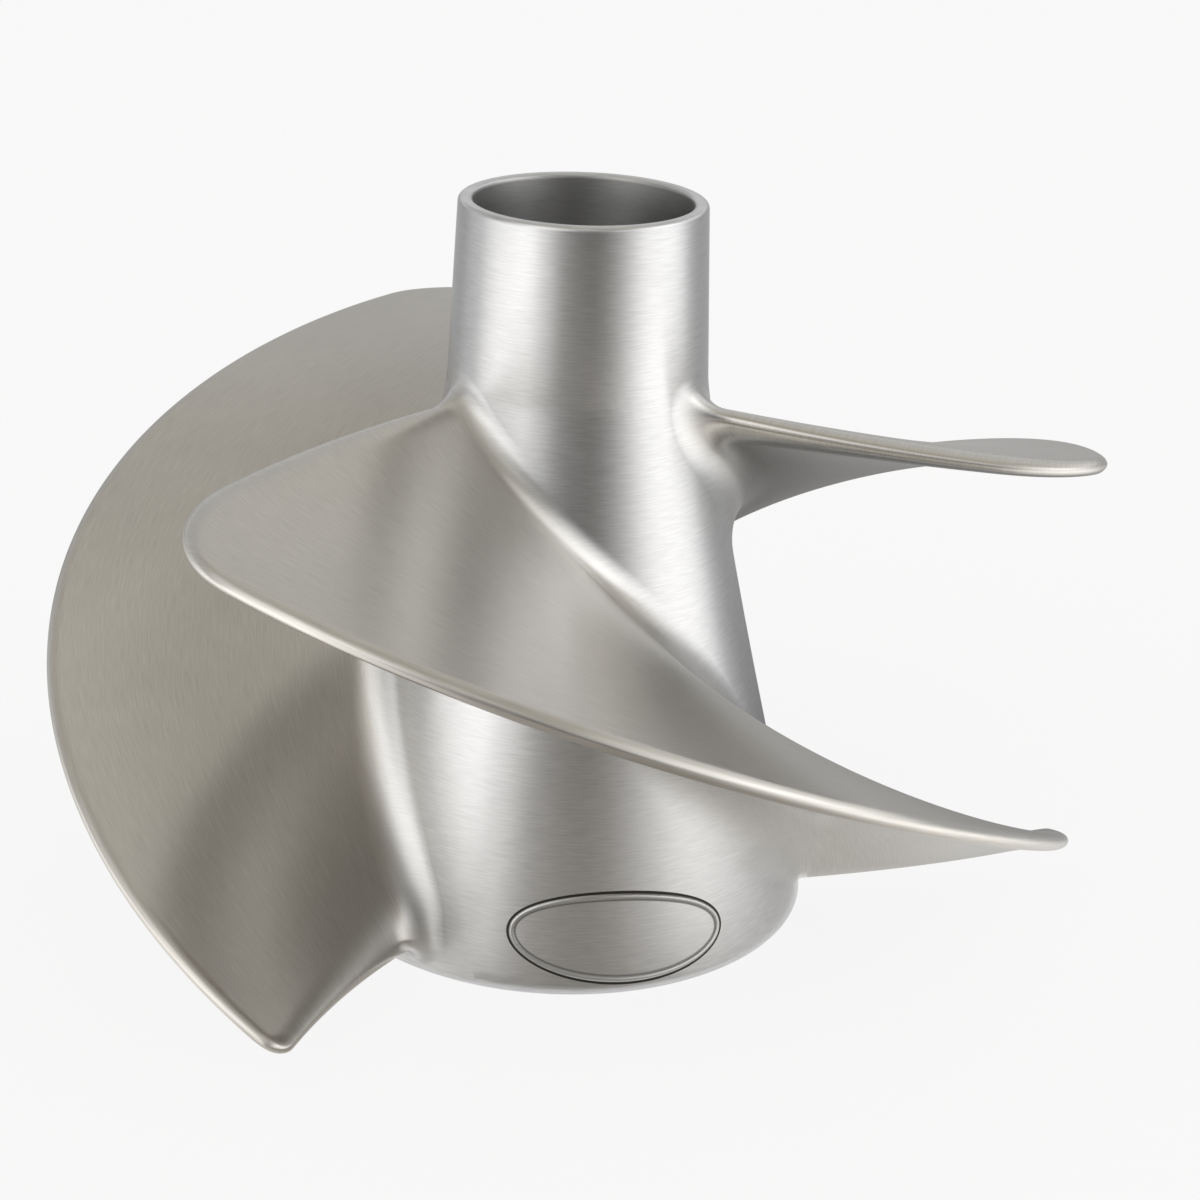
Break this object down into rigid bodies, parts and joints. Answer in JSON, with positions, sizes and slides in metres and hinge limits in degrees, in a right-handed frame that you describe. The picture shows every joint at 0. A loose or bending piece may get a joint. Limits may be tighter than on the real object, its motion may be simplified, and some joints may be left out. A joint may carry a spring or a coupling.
{
  "type": "pump impeller",
  "caption": "Swept mixed flow pump impeller cast in one piece: a flared hub with an open front neck, drive spline, threaded rear boss and hollow skirt, and broad swept blades.",
  "frame": {"origin": "centre of the hub's rear rim, on the shaft axis", "axes": "+Z along the shaft axis towards the open neck, -Y towards the viewer, +X to the right"},
  "size_m": [0.1548, 0.1548, 0.1076],
  "materials": {
    "stainless": "satin, brushed"
  },
  "bodies": {
    "root": {"impeller": "stainless"}
  },
  "joints": []
}
